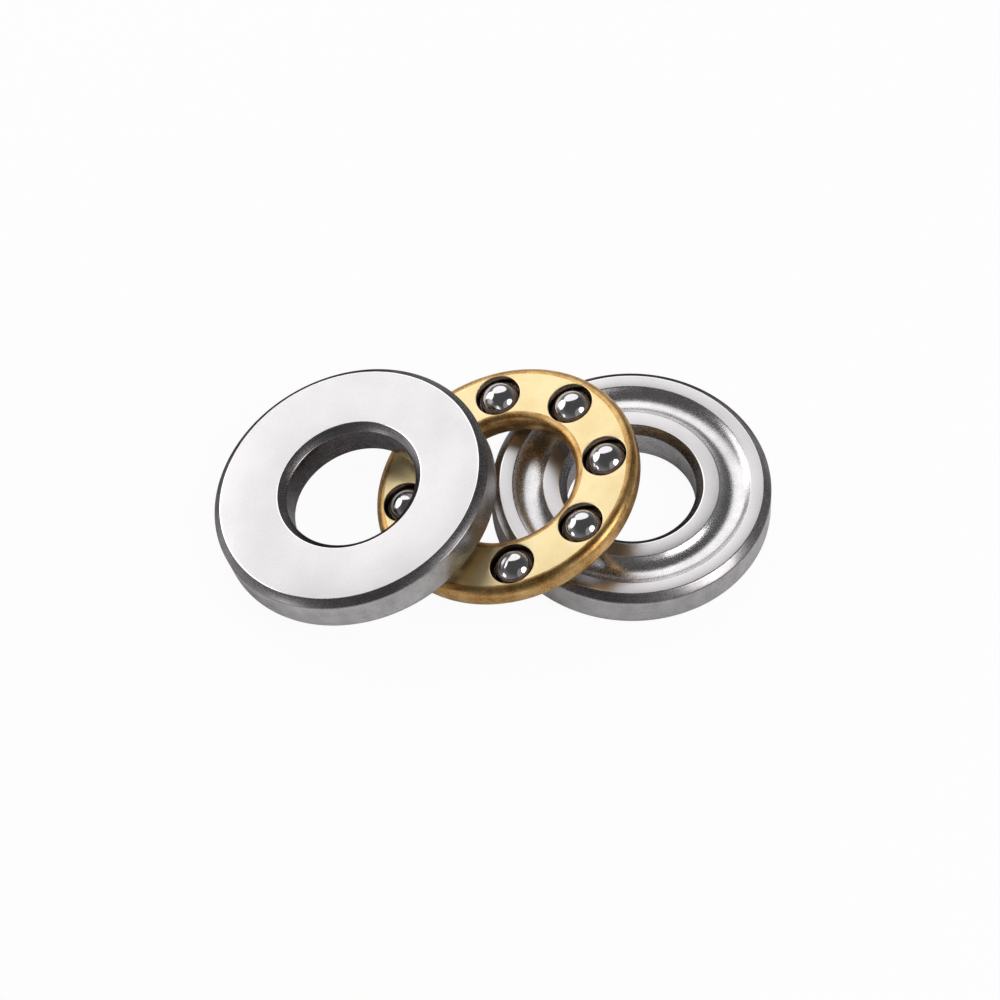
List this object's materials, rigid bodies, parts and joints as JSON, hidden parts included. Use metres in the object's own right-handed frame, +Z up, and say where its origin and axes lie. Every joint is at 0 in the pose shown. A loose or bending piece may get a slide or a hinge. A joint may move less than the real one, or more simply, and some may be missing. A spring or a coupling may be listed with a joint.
{
  "type": "thrust ball bearing",
  "caption": "Miniature separable thrust ball bearing: grooved steel washers and a brass ball cage, laid out in a leaning, overlapping fan.",
  "frame": {"origin": "on the shaft washer's axis, in the plane of its flat seat, which is the plane the fan lies on", "axes": "+Z up, out of the shaft washer's raceway; the fan runs towards -X, and both leaning rings have their lower edge on the -X side"},
  "size_m": [0.0215, 0.0119, 0.0046],
  "materials": {
    "washer_steel": "ground",
    "cage_brass": "satin",
    "ball_steel": "lapped mirror"
  },
  "bodies": {
    "shaft_washer": {"shaft_washer": "washer_steel"},
    "housing_washer": {"housing_washer": "washer_steel"},
    "cage": {"cage_lower_half": "cage_brass", "cage_upper_half": "cage_brass"},
    "ball_1": {"ball_1": "ball_steel"},
    "ball_2": {"ball_2": "ball_steel"},
    "ball_3": {"ball_3": "ball_steel"},
    "ball_4": {"ball_4": "ball_steel"},
    "ball_5": {"ball_5": "ball_steel"},
    "ball_6": {"ball_6": "ball_steel"},
    "ball_7": {"ball_7": "ball_steel"},
    "ball_8": {"ball_8": "ball_steel"}
  },
  "joints": [
    {"name": "housing_spin", "type": "hinge", "parent": "shaft_washer", "child": "housing_washer", "pos_m": [-0.01065, -0.001, 0.00229], "axis": [-0.284, 0, 0.9588], "continuous": true},
    {"name": "cage_spin", "type": "hinge", "parent": "shaft_washer", "child": "cage", "pos_m": [-0.00475, -0.00052, 0.00231], "axis": [-0.2924, 0, 0.9563], "continuous": true},
    {"name": "ball_1_roll", "type": "hinge", "parent": "cage", "child": "ball_1", "pos_m": [-0.00093, -0.00024, 0.00347], "axis": [0.954, 0.0698, 0.2917], "continuous": true},
    {"name": "ball_2_roll", "type": "hinge", "parent": "cage", "child": "ball_2", "pos_m": [-0.00224, 0.0025, 0.00307], "axis": [0.6274, 0.7547, 0.1918], "continuous": true},
    {"name": "ball_3_roll", "type": "hinge", "parent": "cage", "child": "ball_3", "pos_m": [-0.00502, 0.00347, 0.00222], "axis": [-0.0667, 0.9976, -0.0204], "continuous": true},
    {"name": "ball_4_roll", "type": "hinge", "parent": "cage", "child": "ball_4", "pos_m": [-0.00764, 0.0021, 0.00142], "axis": [-0.7217, 0.6561, -0.2207], "continuous": true},
    {"name": "ball_5_roll", "type": "hinge", "parent": "cage", "child": "ball_5", "pos_m": [-0.00857, -0.0008, 0.00114], "axis": [-0.954, -0.0698, -0.2917], "continuous": true},
    {"name": "ball_6_roll", "type": "hinge", "parent": "cage", "child": "ball_6", "pos_m": [-0.00726, -0.00354, 0.00154], "axis": [-0.6274, -0.7547, -0.1918], "continuous": true},
    {"name": "ball_7_roll", "type": "hinge", "parent": "cage", "child": "ball_7", "pos_m": [-0.00448, -0.00451, 0.00239], "axis": [0.0667, -0.9976, 0.0204], "continuous": true},
    {"name": "ball_8_roll", "type": "hinge", "parent": "cage", "child": "ball_8", "pos_m": [-0.00186, -0.00314, 0.00319], "axis": [0.7217, -0.6561, 0.2207], "continuous": true}
  ],
  "couplings": [
    {"joint": "cage_spin", "follows": "housing_spin", "ratio": 0.5},
    {"joint": "ball_1_roll", "follows": "housing_spin", "ratio": -2.5189},
    {"joint": "ball_2_roll", "follows": "housing_spin", "ratio": -2.5189},
    {"joint": "ball_3_roll", "follows": "housing_spin", "ratio": -2.5189},
    {"joint": "ball_4_roll", "follows": "housing_spin", "ratio": -2.5189},
    {"joint": "ball_5_roll", "follows": "housing_spin", "ratio": -2.5189},
    {"joint": "ball_6_roll", "follows": "housing_spin", "ratio": -2.5189},
    {"joint": "ball_7_roll", "follows": "housing_spin", "ratio": -2.5189},
    {"joint": "ball_8_roll", "follows": "housing_spin", "ratio": -2.5189}
  ]
}
